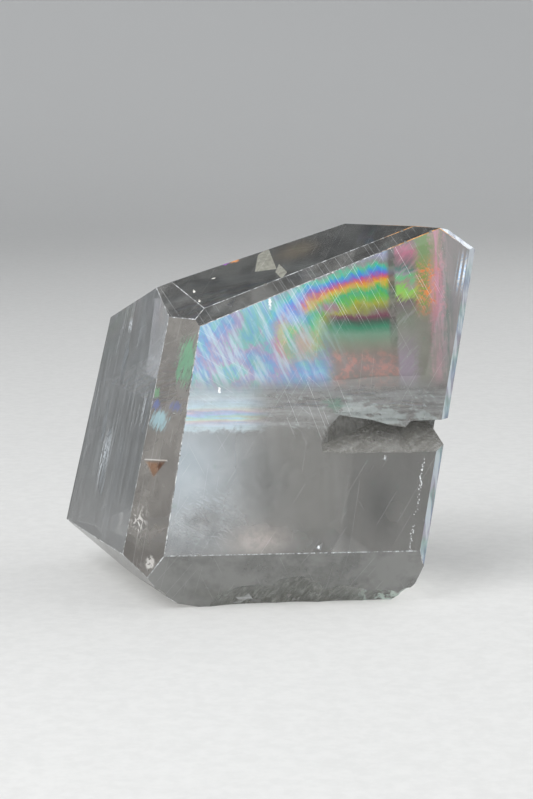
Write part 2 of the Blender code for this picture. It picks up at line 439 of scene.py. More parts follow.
def interference(g, mm):
    """Colours of the thin crack behind the upper front face, and how vivid they are."""
    right, _, up = g.split(mm)
    warp = g.swing(g.noise(mm, 0.22, 4.0, 0.6), 4.0)
    comb = g.streaks(mm, (0.45, 30.0, 7.0), (0.0, -0.45, 0.0), detail=3.0)
    grain = g.plus(g.swing(g.noise(mm, 2.4, 3.0, 0.7), 1.3), g.swing(comb, 1.7))
    height = g.plus(up, g.times(g.plus(warp, grain), 0.4))
    colour = arc_colours(g, mm, warp, grain, comb, height)
    colour = column_colours(g, mm, colour, grain, height)
    vivid = g.times(g.span(right, 24.0, 34.0, 0.45, 1.0), g.span(right, 57.5, 59.5, 1.0, 0.2))
    vivid = g.times(vivid, g.span(height, 33.0, 45.0, 0.45, 1.0))
    return colour, g.times(vivid, g.span(up, 30.0, 33.0))


def front_clouds(g, mm, cloud, fine):
    """Plain parts of the front face: pale blue at the left, with darker and milky clouds."""
    colour = g.blend(g.near(mm, (2, 2, 17), (24, 40, 25)), (0.212, 0.206, 0.195), (0.35, 0.41, 0.455))
    haze = g.span(cloud, 0.3, 0.7, 0.34, 0.46)
    for centre, radii, gain in (((5, 3, 18), (14, 40, 12), 0.32), ((18, 1, 1.5), (18, 40, 4), 0.28),
                                ((22, 3, 12), (9, 40, 8), -0.06), ((46, 2, 7), (4, 40, 4), 0.20),
                                ((9, 2, 7), (5, 40, 4), -0.06), ((40, 3, 13), (14, 40, 9), -0.02)):
        haze = g.plus(haze, g.times(g.near(mm, centre, radii), gain))
    gloom = most(g, [g.near(mm, (21, 3, 13), (8, 40, 10)), g.near(mm, (8, 2, 6.5), (6, 40, 4)),
                     g.near(mm, (43, 3, 8), (5, 40, 9))])
    gloom = g.times(gloom, g.span(fine, 0.30, 0.62, 0.45, 0.80))
    colour = g.blend(gloom, colour, (0.115, 0.114, 0.112))
    blush = g.times(g.near(mm, (18.5, 1, 2.6), (9, 40, 4.2)), g.span(fine, 0.32, 0.62, 0.5, 0.95))
    colour = g.blend(blush, colour, (0.46, 0.41, 0.38))
    ripples = g.streaks(mm, (1.6, 30.0, 0.55), (0.0, 0.5, 0.0), detail=3.0, bend=0.8)
    ripples = g.times(g.span(ripples, 0.48, 0.62), g.near(mm, (9.5, 2, 6.5), (9, 40, 8)))
    return colour, g.plus(haze, g.times(ripples, 0.5))


def silver_band(g, mm, fine):
    """The level crack seen through the front face: its place, colour and haze."""
    right, _, up = g.split(mm)
    fibre = g.streaks(mm, (8.0, 30.0, 0.7), (0.0, 0.03, 0.0))
    ragged = g.plus(up, g.swing(fine, 3.0))
    band = g.times(g.span(ragged, 22.7, 23.9), g.span(up, 33.0, 28.5))
    left = g.span(right, 23.0, 15.0)
    wave = g.plus(up, g.times(fibre, 3.4))
    fringe = g.ramp(g.math("FRACT", g.over(wave, 2.2)), SPECTRUM)
    beside = g.span(g.math("ABSOLUTE", g.minus(up, 26.0)), 0.6, 2.0, 0.25, 0.9)
    fringe = g.blend(beside, fringe, (0.44, 0.55, 0.62))
    grey = g.blend(g.span(fibre, 0.35, 0.68), (0.245, 0.24, 0.23), (0.335, 0.34, 0.335))
    lip = most(g, [g.near(mm, (39.0, 3, 26.4), (6.0, 40, 2.8)), g.near(mm, (45.0, 3, 25.2), (7.0, 40, 3.0)),
                   g.near(mm, (52.5, 3, 25.0), (4.0, 40, 1.8))])
    milk = g.streaks(mm, (1.6, 30.0, 0.9), (0.0, 0.2, 0.0), detail=5.0, rough=0.62)
    lip = g.plus(lip, g.swing(milk, 3.2))
    grey = g.blend(g.span(lip, 0.25, 0.60, 0.0, 0.9), grey, (0.46, 0.505, 0.495))
    silver = g.blend(left, grey, g.blend(0.30, fringe, (0.62, 0.74, 0.80)))
    haze = g.times(g.span(fibre, 0.35, 0.62, 0.50, 0.70), g.span(fine, 0.3, 0.6, 0.8, 1.0))
    return band, silver, g.times(haze, g.span(left, 0.0, 1.0, 0.8, 1.2))


def front_bruises(g, mm, edge, fine, dust):
    """Small white bruises, dust and the nicked line beside the right edge."""
    _, _, up = g.split(mm)
    bruises = most(g, [g.near(mm, (a, 3, b), (w, 40, h)) for a, b, w, h in BRUISES])
    nick = g.plus(edge, g.swing(fine, 2.4))
    worn = g.times(g.span(nick, 48.0, 48.5), g.span(up, 18.6, 16.8))
    worn = g.times(worn, g.span(nick, 49.1, 48.6))
    bruises = g.plus(bruises, g.times(worn, 0.46))
    bruises = g.plus(bruises, g.swing(dust, 1.9))
    return g.larger(g.span(bruises, 0.44, 0.66), g.span(dust, 0.70, 0.76, 0.0, 0.6))


def front_paint(g, mm):
    """Base colour and haze of the polished front face."""
    right, _, up = g.split(mm)
    cloud = g.noise(mm, 0.08, 3.0, 0.55)
    fine = g.noise(mm, 0.7, 4.0, 0.65)
    dust = g.noise(mm, 2.6, 3.0, 0.7)
    colour, haze = front_clouds(g, mm, cloud, fine)
    rainbow, vivid = interference(g, mm)
    upper = g.span(up, 29.0, 34.0)
    glow = g.streaks(mm, (0.8, 30.0, 6.0), (0.0, -0.45, 0.0), rough=0.62)
    white = g.times(g.span(glow, 0.44, 0.68, 0.0, 0.8), g.span(right, 42.0, 20.0))
    rainbow = g.blend(white, rainbow, (0.54, 0.70, 0.79))
    colour = g.blend(g.times(upper, g.span(vivid, 0.0, 0.6, 0.8, 1.0)), colour, rainbow)
    lit = g.times(g.span(right, 22.0, 44.0, 0.86, 0.58), g.span(cloud, 0.3, 0.62, 0.80, 1.05))
    haze = g.blend(upper, haze, lit)
    # Painted highlight: pale blue glints painted where the front face meets the right bevel.
    edge = g.minus(right, g.times(up, 0.22))
    painted_glint = g.times(g.span(edge, 48.6, 49.2), g.near(mm, (61.5, 14, 53.0), (6, 40, 5.5)))
    painted_glint = g.times(painted_glint, g.span(g.math("SINE", g.times(edge, 7.0)), -0.3, 0.4))
    # Colours of the painted highlight, pale blue to white.
    sky = g.blend(g.span(dust, 0.4, 0.6), (0.42, 0.66, 1.0), (0.95, 0.98, 1.0))
    colour = g.blend(painted_glint, colour, sky)
    haze = g.larger(haze, g.times(painted_glint, 0.95))
    band, silver, silver_haze = silver_band(g, mm, fine)
    colour = g.blend(band, colour, silver)
    haze = g.plus(g.blend(band, haze, silver_haze), g.swing(fine, 0.10))
    # Green stain at the left end of the broken wedge.
    stain = g.plus(g.near(mm, (34.8, 3, 27.8), (4.2, 40, 2.6)), g.swing(fine, 2.4))
    colour = g.blend(g.span(stain, 0.2, 1.0, 0.0, 0.8), colour, (0.17, 0.29, 0.225))
    bruises = front_bruises(g, mm, edge, fine, dust)
    colour = g.blend(bruises, colour, (0.93, 0.95, 0.97))
    return colour, g.larger(haze, g.times(bruises, 0.95))


def cut_stone(g, colour, clear, rough, relief, to_lamps):
    """Calcite's main shader from the sockets that differ between its surfaces."""
    g.set("Base Color", colour)
    g.set("Transmission Weight", clear)
    g.set("Roughness", rough)
    g.set("IOR", CALCITE_INDEX)
    g.set("Normal", relief)
    g.let_lamps_in(to_lamps)
    return g.material


def stone_material(name, paint, lines, shine, mirror=0.5):
    """Polished calcite. paint(g, mm) gives the colour and the haze; lines lists its scratches."""
    g = Graph("calcite " + name)
    mm = g.millimetres()
    colour, haze = paint(g, mm)
    right, back, up = g.split(mm)
    planes = {"front": (right, up), "side": (back, up), "top": (right, back)}
    layers = []
    for plane, angle, spacing, width, share, seed, strength, region in lines:
        layer = scratches(g, *planes[plane], angle, spacing, width, share, seed)
        layer = g.times(layer, strength)
        if region:
            layer = g.times(layer, g.span(g.near(mm, *region), 0.0, 0.4))
        layers.append(layer)
    marks = most(g, layers)
    colour = g.blend(marks, colour, (0.86, 0.88, 0.90))
    haze = g.math("ADD", haze, g.times(marks, 0.45), clamp=True)
    clear = g.math("SUBTRACT", 1.0, haze, clamp=True)
    dull = g.span(g.noise(mm, 0.35, 3.0, 0.6), 0.35, 0.65, shine, shine + 0.06)
    waves = g.bump(g.noise(mm, 0.25, 2.0, 0.4), 0.06, 0.6)
    relief = g.bump(g.minus(0.0, marks), 0.3, 0.02, waves)
    g.set("Specular IOR Level", mirror)
    return cut_stone(g, colour, clear, g.plus(dull, g.times(marks, 0.25)), relief, POLISHED_TO_LAMPS)


def plain_paint(dark, light, haze_low, haze_high):
    """A paint of two tones in soft clouds."""
    def paint(g, mm):
        cloud = g.noise(mm, 0.12, 4.0, 0.6)
        fine = g.noise(mm, 0.9, 3.0, 0.6)
        value = g.plus(cloud, g.swing(fine, 0.15))
        return (g.blend(g.span(value, 0.38, 0.64), dark, light),
                g.span(value, 0.36, 0.66, haze_low, haze_high))
    return paint


def left_paint(g, mm):
    """Left side: grey with faint silvery streaks that follow the upright edges."""
    _, back, up = g.split(mm)
    streak = g.streaks(mm, (0.9, 0.8, 16.0), (-0.22, 0.26, 0.0), rough=0.62)
    broad = g.noise(mm, 0.10, 3.0, 0.5)
    colour = g.blend(g.span(streak, 0.40, 0.72), (0.118, 0.124, 0.126), (0.262, 0.277, 0.287))
    haze = g.plus(g.span(broad, 0.35, 0.65, 0.38, 0.55), g.span(streak, 0.45, 0.75, 0.0, 0.15))
    light = inside(g, back, up, [(16.0, 32.0), (24.2, 32.1), (31.7, 47.0), (19.5, 48.0)], 0.3)
    grain = g.noise(mm, 1.4, 4.0, 0.7)
    colour = g.blend(g.times(light, g.span(grain, 0.3, 0.6, 0.6, 1.0)), colour,
                     (0.36, 0.37, 0.39))
    frost = most(g, [g.near(mm, (-9, 37, 13), (4, 5, 9)), g.near(mm, (-2, 21, 25), (3, 3, 6)),
                     g.near(mm, (-2.6, 42.2, 40.3), (2, 3, 2.0))])
    frost = g.times(frost, g.span(streak, 0.47, 0.58))
    frost = g.times(frost, g.span(grain, 0.42, 0.52))
    colour = g.blend(frost, colour, (0.74, 0.80, 0.85))
    # Painted shade: the left side darkens towards the bottom.
    colour = g.blend(g.span(up, 16.0, -4.0, 0.0, 0.45), colour, (0.06, 0.06, 0.058))
    return colour, g.plus(haze, g.times(frost, 0.35))


def bevel_paint(g, mm):
    """Narrow bevel at the front left: warm grey with small coloured patches."""
    cloud = g.noise(mm, 0.16, 4.0, 0.6)
    fine = g.noise(mm, 1.1, 4.0, 0.65)
    colour = g.blend(g.span(cloud, 0.35, 0.65), (0.178, 0.163, 0.150), (0.238, 0.223, 0.206))
    haze = g.span(cloud, 0.35, 0.65, 0.40, 0.54)
    upright = g.streaks(mm, (0.6, 0.6, 5.0), (0.1, 0.2, 0.0), detail=3.0)
    upright_gap = g.swing(upright)
    for centre, radii, tone in (((5.8, 11.6, 36.5), (3.8, 5.2, 10.0), (0.16, 0.37, 0.22)),
                                ((0.4, 15.8, 29.8), (1.6, 2.2, 2.0), (0.17, 0.33, 0.19)),
                                ((0.6, 15.0, 27.2), (2.2, 2.8, 2.0), (0.14, 0.17, 0.36)),
                                ((4.2, 10.6, 27.4), (3.2, 3.2, 2.0), (0.14, 0.16, 0.30)),
                                ((1.4, 13.2, 24.4), (5.0, 5.2, 3.4), (0.33, 0.50, 0.55)),
                                ((5.4, 12.6, 43.0), (2.0, 2.0, 2.6), (0.48, 0.40, 0.14))):
        mask = g.plus(g.near(mm, centre, radii), g.times(upright_gap, 2.2))
        mask = g.times(g.span(mask, 0.2, 0.9), g.span(g.near(mm, centre, radii), 0.0, 0.35))
        colour = g.blend(g.times(mask, 0.9), colour, tone)
        haze = g.plus(haze, g.times(mask, 0.2))
    swirl = g.streaks(mm, (2.5, 2.5, 2.5), detail=3.0, bend=2.5)
    milky = g.times(g.near(mm, (-4.0, 8.7, 4.8), (4, 4, 5)), g.span(swirl, 0.5, 0.6))
    chip = g.span(g.near(mm, (-2.3, 2.6, -1.8), (1.6, 2.0, 2.0)), 0.0, 0.5)
    milky = g.larger(milky, g.times(chip, g.span(fine, 0.4, 0.5)))
    right, _, up = g.split(mm)
    grain = inside(g, right, up, [(-1.1, 13.0), (1.8, 17.3), (-2.6, 16.7)], 0.7)
    grain = g.times(grain, g.span(up, 13.2, 15.4, 0.4, 1.0))
    tan = g.blend(g.span(g.plus(right, g.times(fine, 2.0)), 0.4, 1.2), (0.33, 0.215, 0.145),
                  (0.12, 0.055, 0.028))
    colour = g.blend(g.times(grain, g.span(fine, 0.3, 0.42, 0.7, 1.0)), colour, tan)
    roof = inside(g, right, up, [(-2.6, 16.6), (1.8, 17.2), (1.6, 17.6), (-2.4, 17.0)], 0.15)
    milky = g.larger(milky, g.times(roof, 0.7))
    colour = g.blend(milky, colour, (0.66, 0.64, 0.61))
    return colour, g.plus(haze, g.times(milky, 0.2))


def top_paint(g, mm):
    """Top facet: painted dark, a painted reflection of the dark inside, with two pale quadrilaterals and
    soft patches.
    """
    right, back, _ = g.split(mm)
    cloud = g.noise(mm, 0.16, 3.0, 0.5, 0.6)
    # Painted reflection: the near-black base colour stands in for the dark that this facet mirrors.
    colour = g.blend(g.span(cloud, 0.36, 0.68), (0.018, 0.018, 0.017), (0.060, 0.061, 0.057))
    colour = g.blend(g.span(back, 34.0, 50.0, 0.0, 0.7), colour, (0.26, 0.265, 0.26))
    pale = most(g, [inside(g, right, back, [(20.9, 22.6), (25.2, 20.5), (25.0, 30.9), (22.5, 29.5)]),
                    inside(g, right, back, [(25.4, 15.7), (26.9, 17.8), (25.9, 22.7), (24.6, 19.5)])])
    grain = g.noise(mm, 1.2, 3.0, 0.6)
    cream = g.blend(g.span(grain, 0.3, 0.7), (0.20, 0.20, 0.165), (0.30, 0.295, 0.255))
    colour = g.blend(pale, colour, cream)
    warm = g.near(mm, (30, 26, 56), (7, 6, 6))
    colour = g.blend(g.times(warm, 0.5), colour, (0.14, 0.095, 0.045))
    chain = most(g, [g.near(mm, centre, radii) for centre, radii in (
        ((8.8, 23.4, 48.8), (0.5, 2.2, 1.0)), ((9.3, 18.6, 47.4), (0.5, 1.6, 0.9)),
        ((9.6, 14.9, 46.2), (0.5, 1.4, 0.9)), ((14.7, 14.6, 47.8), (1.6, 0.35, 0.8)),
        ((13.0, 26.0, 51.4), (1.2, 0.5, 0.9)))])
    dust = g.noise(mm, 2.2, 3.0, 0.7)
    chain = g.plus(chain, g.swing(dust, 2.2))
    chain = g.larger(g.span(chain, 0.55, 0.7), g.span(dust, 0.71, 0.76, 0.0, 0.6))
    colour = g.blend(chain, colour, (0.86, 0.84, 0.78))
    glints = most(g, [g.near(mm, (16.1, 30.6, 53.9), (1.2, 1.2, 1.2)),
                      g.near(mm, (17.9, 30.5, 54.5), (1.6, 1.6, 1.2))])
    glints = g.times(glints, g.span(grain, 0.40, 0.50))
    violet = g.blend(g.span(right, 16.6, 17.0), (0.52, 0.10, 0.75), (0.95, 0.36, 0.10))
    colour = g.blend(glints, colour, violet)
    haze = g.plus(g.span(cloud, 0.4, 0.64, 0.20, 0.42), g.times(pale, 0.45))
    return colour, g.plus(haze, g.times(g.larger(chain, glints), 0.5))


def right_paint(g, mm):
    """Right bevels: pale, with a thin coloured lining partly whitened as a painted highlight, and painted
    bluish highlights.
    """
    _, _, up = g.split(mm)
    run = g.streaks(mm, (1.6, 12.0, 9.0), detail=3.0, rough=0.5)
    lining = g.ramp(g.math("FRACT", g.plus(g.over(up, 9.0), run)), PASTELS)
    # Painted highlight: whitish streaks laid over the coloured lining.
    lining = g.blend(g.span(run, 0.46, 0.60, 0.0, 0.8), lining, (0.80, 0.88, 0.94))
    colour = g.blend(g.span(run, 0.35, 0.60, 0.2, 0.85), (0.30, 0.30, 0.30), lining)
    # Painted highlight: bluish white patches near the top and the middle of the right bevels.
    shine = g.larger(g.near(mm, (62, 4, 53), (6, 6, 8)), g.times(g.near(mm, (58, 4, 38), (8, 8, 18)), 0.7))
    shine = g.times(shine, g.span(run, 0.30, 0.60, 0.15, 1.0))
    colour = g.blend(shine, colour, (0.84, 0.93, 1.0))
    return colour, g.plus(g.span(run, 0.3, 0.7, 0.42, 0.60), g.times(shine, 0.3))


def cleavage_paint(g, mm):
    """The hidden sides: cleaved and lightly polished, with fine steps, veils and the level crack."""
    _, _, up = g.split(mm)
    cloud = g.noise(mm, 0.09, 4.0, 0.55)
    steps = g.streaks(mm, (9.0, 9.0, 0.7), (0.02, 0.03, 0.0))
    streak = g.streaks(mm, (1.1, 1.1, 14.0), (-0.26, 0.0, 0.0))
    colour = g.blend(g.span(streak, 0.40, 0.68), (0.50, 0.505, 0.49), (0.68, 0.69, 0.685))
    colour = g.blend(g.span(steps, 0.56, 0.66, 0.0, 0.35), colour, (0.80, 0.82, 0.83))
    pastel = g.ramp(g.math("FRACT", g.times(g.noise(mm, 0.11, 3.0, 0.5, 0.6), 4.0)), PASTELS)
    veil = g.times(g.span(cloud, 0.50, 0.64), g.span(up, 30.0, 38.0))
    colour = g.blend(g.times(veil, 0.75), colour, pastel)
    crack = g.plus(up, g.swing(steps, 5.0))
    crack = g.times(g.span(crack, 24.4, 25.6), g.span(crack, 28.5, 26.2))
    colour = g.blend(g.times(crack, 0.8), colour, (0.56, 0.60, 0.62))
    haze = g.plus(g.span(cloud, 0.35, 0.65, 0.22, 0.40), g.span(steps, 0.56, 0.66, 0.0, 0.12))
    return colour, g.plus(haze, g.times(g.larger(veil, crack), 0.24))


def broken_material():
    """Rough broken calcite: greyish, with diagonal steps and frosted patches."""
    g = Graph("calcite broken")
    mm = g.millimetres()
    right, back, _ = g.split(mm)
    grain = g.noise(mm, 1.3, 4.0, 0.6)
    streak = g.streaks(mm, (7.0, 0.7, 3.0), (0, 0, 0.75))
    tint = g.blend(g.span(streak, 0.38, 0.72), (0.195, 0.190, 0.176), (0.290, 0.288, 0.272))
    lines = most(g, [scratches(g, right, back, 38, 1.1, 0.07, 0.5, 71.0),
                     scratches(g, right, back, 61, 1.7, 0.06, 0.4, 83.0)])
    tint = g.blend(g.times(lines, 0.5), tint, (0.62, 0.63, 0.62))
    relief = g.bump(g.plus(streak, g.times(grain, 0.4)), 0.25, 0.10)
    return cut_stone(g, tint, g.span(grain, 0.3, 0.75, 0.35, 0.12), g.span(grain, 0.3, 0.7, 0.14, 0.34),
                     relief, ROUGH_TO_LAMPS)


def worn_material():
    """The blunted edges between facets: thin frosted lines, bright where the polish has gone."""
    g = Graph("calcite worn edge")
    mm = g.millimetres()
    right, _, up = g.split(mm)
    grain = g.noise(mm, 0.9, 4.0, 0.65)
    tint = g.blend(g.span(grain, 0.38, 0.62), (0.24, 0.24, 0.235), (0.66, 0.68, 0.70))
    warm = g.times(g.span(right, 44.0, 50.0), g.span(up, 56.0, 58.0))
    tint = g.blend(g.times(warm, g.span(right, 62.0, 58.0)), tint, (0.86, 0.42, 0.14))
    return cut_stone(g, tint, g.span(grain, 0.35, 0.65, 0.75, 0.25), g.span(grain, 0.3, 0.7, 0.08, 0.3),
                     g.bump(grain, 0.3, 0.05), POLISHED_TO_LAMPS)


def shell_material():
    """Shell-shaped chips on the foot: glassy and dark, ribbed, and greenish at the right end, where pale
    green glints are painted in as a painted highlight.
    """
    g = Graph("calcite shell chips")
    mm = g.millimetres()
    right, _, _ = g.split(mm)
    ribs = g.streaks(mm, (0.5, 1.0, 4.0), (0, 0.5, 0))
    grain = g.noise(mm, 0.8, 4.0, 0.6)
    tint = g.blend(g.span(ribs, 0.4, 0.7), (0.13, 0.13, 0.115), (0.32, 0.33, 0.30))
    # Painted highlight: pale green glints at the right end of the chips.
    tint = g.blend(g.times(g.span(right, 37.0, 44.0), g.span(grain, 0.46, 0.56)), tint,
                   (0.62, 0.74, 0.66))
    return cut_stone(g, tint, g.span(grain, 0.3, 0.75, 0.75, 0.45), g.span(ribs, 0.3, 0.7, 0.06, 0.22),
                     g.bump(ribs, 0.35, 0.2), ROUGH_TO_LAMPS)


def veil_shader(g, colour, cover, gloss=0.35):
    """A thin crack: it scatters light from both sides and lets the rest through."""
    g.set("Base Color", colour)
    g.set("Roughness", gloss)
    g.set("Specular IOR Level", 0.2)
    glow = g.node("BsdfTranslucent")
    g.put(glow.inputs["Color"], colour)
    halves = g.node("MixShader")
    halves.inputs[0].default_value = 0.4
    g.put(halves.inputs[1], g.shader.outputs[0])
    g.put(halves.inputs[2], glow.outputs[0])
    clear = g.node("BsdfTransparent")
    both = g.node("MixShader")
    g.put(both.inputs[0], cover)
    g.put(both.inputs[1], clear.outputs[0])
    g.put(both.inputs[2], halves.outputs[0])
    g.put(g.output.inputs["Surface"], both.outputs[0])
    return g.material


def rainbow_material():
    """Interference colours in the crack behind the upper front face."""
    g = Graph("rainbow crack")
    mm = g.millimetres()
    colour, vivid = interference(g, mm)
    patch = g.span(g.noise(mm, 0.2, 4.0, 0.6), 0.34, 0.6, 0.45, 0.95)
    cover = g.times(patch, g.span(vivid, 0.0, 0.6))
    return veil_shader(g, colour, cover)


def silver_material():
    """The level crack that runs on from the broken wedge: silvery, with fine coloured fringes."""
    g = Graph("silver crack")
    mm = g.millimetres()
    _, back, _ = g.split(mm)
    warp = g.times(g.noise(mm, 0.3, 3.0, 0.6), 6.0)
    fringe = g.ramp(g.math("FRACT", g.over(g.plus(back, warp), 4.0)), SPECTRUM)
    streak = g.streaks(mm, (9.0, 1.2, 1.0), (0, 0, 0.5))
    colour = g.blend(g.span(streak, 0.35, 0.7, 0.6, 0.95), fringe, (0.82, 0.84, 0.86))
    holes = g.noise(mm, 0.25, 5.0, 0.62)
    cover = g.times(g.span(holes, 0.36, 0.56), g.span(streak, 0.3, 0.6, 0.45, 0.95))
    return veil_shader(g, colour, cover)


def feather_material():
    """Silvery blue feathers inside the left side."""
    g = Graph("feather crack")
    mm = g.millimetres()
    streak = g.streaks(mm, (0.8, 0.8, 9.0), (0.15, 0.2, 0.0))
    colour = g.blend(g.span(streak, 0.4, 0.7), (0.45, 0.50, 0.55), (0.84, 0.91, 0.97))
    return veil_shader(g, colour, g.span(streak, 0.40, 0.58, 0.1, 0.95))


def flake_material():
    """Tiny open cracks that flash white."""
    g = Graph("white flake")
    mm = g.millimetres()
    grain = g.noise(mm, 2.0, 3.0, 0.6)
    colour = g.blend(g.span(grain, 0.4, 0.6), (0.80, 0.86, 0.95), (0.98, 0.98, 0.98))
    return veil_shader(g, colour, g.span(grain, 0.3, 0.5, 0.7, 1.0), 0.2)


def inclusion_material():
    """The small brown grain of another mineral."""
    g = Graph("brown inclusion")
    mm = g.millimetres()
    grain = g.noise(mm, 1.4, 4.0, 0.6)
    browns = ((0.3, (0.10, 0.035, 0.01)), (0.5, (0.30, 0.15, 0.07)), (0.7, (0.46, 0.30, 0.19)))
    g.set("Base Color", g.ramp(grain, browns))
    g.set("Roughness", 0.5)
    g.set("Normal", g.bump(grain, 0.4, 0.1))
    return g.material


# Scratches: plane, direction in degrees, lane spacing, half width (mm), share of lanes, seed,
# strength, and the place (centre, radii) outside which there are none.
ANYWHERE = None
TOP_EDGE = ((30, 16, 52), (40, 60, 13))
WEDGE_TIP = ((30, 6, 27), (13, 40, 9))
FRONT_LINES = (
    ("front", -62, 0.5, 0.055, 0.55, 3.0, 0.6, TOP_EDGE),
    ("front", 50, 0.9, 0.05, 0.4, 17.0, 0.5, TOP_EDGE),
    ("front", -30, 1.0, 0.05, 0.4, 31.0, 0.35, ((12, 9, 36), (20, 60, 14))),
    ("front", -68, 0.8, 0.05, 0.5, 77.0, 0.5, WEDGE_TIP),
    ("front", -40, 0.9, 0.05, 0.4, 91.0, 0.4, WEDGE_TIP),
    ("front", 55, 1.6, 0.045, 0.35, 43.0, 0.28, ANYWHERE),
    ("front", -62, 1.9, 0.045, 0.3, 59.0, 0.25, ANYWHERE),
    ("front", 80, 2.3, 0.045, 0.3, 67.0, 0.2, ANYWHERE))
SIDE_LINES = (
    ("side", 78, 0.9, 0.05, 0.35, 5.0, 0.25, ANYWHERE),
    ("side", -25, 2.2, 0.045, 0.3, 21.0, 0.18, ANYWHERE))
TOP_LINES = (
    ("top", 62, 0.7, 0.05, 0.4, 9.0, 0.25, ANYWHERE),
    ("top", -20, 1.3, 0.05, 0.3, 25.0, 0.2, ANYWHERE))
BEVEL_LINES = (
    ("front", -62, 0.42, 0.05, 0.6, 12.0, 0.42, ANYWHERE),
    ("top", 40, 0.9, 0.05, 0.3, 37.0, 0.2, ANYWHERE))

# Bearings and climbs of the facets that take each of the stone materials, in the same order.
# The facets that aren't here take the last stone material.
FINISHES = (
    ((0.0, 15.08),),
    ((-78.08, 15.08),),
    ((-54.5, 17.5),),
    ((-0.4, -21.9),),
    ((-18.5, 47.6), (-55.2, 52.1)),
    ((-43.7, 64.2), (-126.7, 68.3)),
    ((-76.4, -36.8), (-76.9, -55.6), (-109.2, -76.9), (137.6, 79.1)),
    ((50.8, -0.2), (42.1, 48.6), (108.7, 51.4)),
)


def stone_materials():
    """One material for each row of FINISHES, and one for the hidden sides."""
    return [
        stone_material("front", front_paint, FRONT_LINES, 0.12),
        stone_material("left", left_paint, SIDE_LINES, 0.06),
        stone_material("left_bevel", bevel_paint, SIDE_LINES, 0.06),
        stone_material("foot_bevel", plain_paint((0.205, 0.205, 0.194), (0.295, 0.295, 0.283), 0.45, 0.58),
                       FRONT_LINES[5:], 0.10),
        stone_material("top_bevel", plain_paint((0.050, 0.049, 0.047), (0.150, 0.148, 0.142), 0.30, 0.45),
                       BEVEL_LINES, 0.06, 0.25),
        stone_material("top", top_paint, TOP_LINES, 0.03, 0.12),
        stone_material("dark", plain_paint((0.020, 0.019, 0.017), (0.105, 0.100, 0.090), 0.25, 0.4),
                       TOP_LINES, 0.05),
        stone_material("right_bevel", right_paint, SIDE_LINES, 0.06),
        stone_material("rest", cleavage_paint, SIDE_LINES, 0.05),
    ]


# ------------------------------------------------------------------ the crystal
# Places of the crystal's last three materials, counted from the end.
WORN = 3
SHELL = 2
BROKEN = 1


def in_wedge(point):
    local = (point - DATUM) / MM
    return all(WEDGE_LOW[i] < local[i] < WEDGE_HIGH[i] for i in range(3))


def on_main_facet(face):
    """True on the front, right and front right bevel faces, which stay flat beside the wedge."""
    facets = (FACETS["front"][0], FACETS["right"][0], facing(50.8, -0.2))
    return any(face.normal.dot(normal) > NEARLY_SAME_FACET for normal in facets)


def long_edges(faces):
    return list({edge for face in faces for edge in face.edges
                 if edge.calc_length() > BROKEN_EDGE * MM})


def wedge_faces(work):
    return [face for face in work.faces if not on_main_facet(face)
            and in_wedge(face.calc_center_median()) and face.calc_area() > 0]


def roughen_wedge(work):
    """Split the broken faces finely and push them into the stone by small steps."""
    for _ in range(6):
        faces = wedge_faces(work)
        if not long_edges(faces):
            break
        bmesh.ops.triangulate(work, faces=faces)
        bmesh.ops.subdivide_edges(work, edges=long_edges(wedge_faces(work)), cuts=1)
    bmesh.ops.triangulate(work, faces=wedge_faces(work))
    faces = wedge_faces(work)
    rough = set(faces)
    inner = [vert for vert in {v for face in faces for v in face.verts}
             if all(face in rough for face in vert.link_faces)]
    moves = {}
    for vert in inner:
        local = (vert.co - DATUM) / MM
        step = noise.cell(Vector((local.x * 0.45, local.y * 0.7, local.z * 0.7)))
        ripple = noise.fractal(local * 0.55, 0.9, 2.0, 4)
        depth = 0.05 + 0.06 * step + 0.06 * max(0.0, ripple + 0.3)
        moves[vert] = vert.normal * (-depth * MM)
    for vert, move in moves.items():
        vert.co += move


def crystal_bmesh():
    work = bmesh.new()
    work.from_mesh(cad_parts["calcite_rhomb"].data)
    bmesh.ops.remove_doubles(work, verts=work.verts[:], dist=1e-6)
    bmesh.ops.dissolve_limit(work, angle_limit=math.radians(0.6), verts=work.verts[:],
                             edges=work.edges[:])
    return work


def long_facet_edges(work):
    """Edges between two ground or cleavage facets, away from the broken parts."""
    kept = []
    for edge in work.edges:
        if len(edge.link_faces) != 2 or edge.calc_length() < LONG_EDGE * MM:
            continue
        if min(face.calc_area() for face in edge.link_faces) < LARGE_FACET * MM * MM:
            continue
        if any(in_wedge(vert.co) for vert in edge.verts):
            continue
        kept.append(edge)
    return kept


def chip_cutters(edges, rng):
    """Small uneven lumps along the given edges, as (centre, size) pairs."""
    places = []
    for start, end, outward in edges:
        run = end - start
        count = max(1, int(run.length / (CHIP_SPACING * MM)))
        for _ in range(count):
            size = rng.choice(CHIP_SIZES) * MM
            spot = start + run * rng.uniform(0.02, 0.98) + outward * size * rng.uniform(0.35, 0.75)
            places.append((spot, size))
    return places


def lump(work, centre, size, rng):
    made = bmesh.ops.create_icosphere(work, subdivisions=1, radius=1.0)
    stretch = Vector([rng.uniform(0.7, 1.5) for _ in range(3)])
    turn = Matrix.Rotation(rng.uniform(0, math.pi), 3, Vector((rng.random(), rng.random(), 1.0)))
    for vert in made["verts"]:
        jitter = 1.0 + rng.uniform(-0.16, 0.16)
        shaped = Vector((vert.co.x * stretch.x, vert.co.y * stretch.y, vert.co.z * stretch.z))
        vert.co = centre + turn @ (shaped * size * jitter)


def blunt_edges(work, edges):
    """Grind the long edges to narrow flats and mark their faces."""
    mark = work.faces.layers.int.new("worn")
    made = bmesh.ops.bevel(work, geom=edges, offset=EDGE_WEAR * MM, offset_type="WIDTH", segments=1,
                           profile=0.5, affect="EDGES", clamp_overlap=False)
    for face in made["faces"]:
        face[mark] = 1
    return mark


def keep_in_box(work):
    """Hold every vertex inside the CAD's box."""
    low, high = cad_box
    for vert in work.verts:
        vert.co = Vector([min(max(vert.co[i], low[i]), high[i]) for i in range(3)])


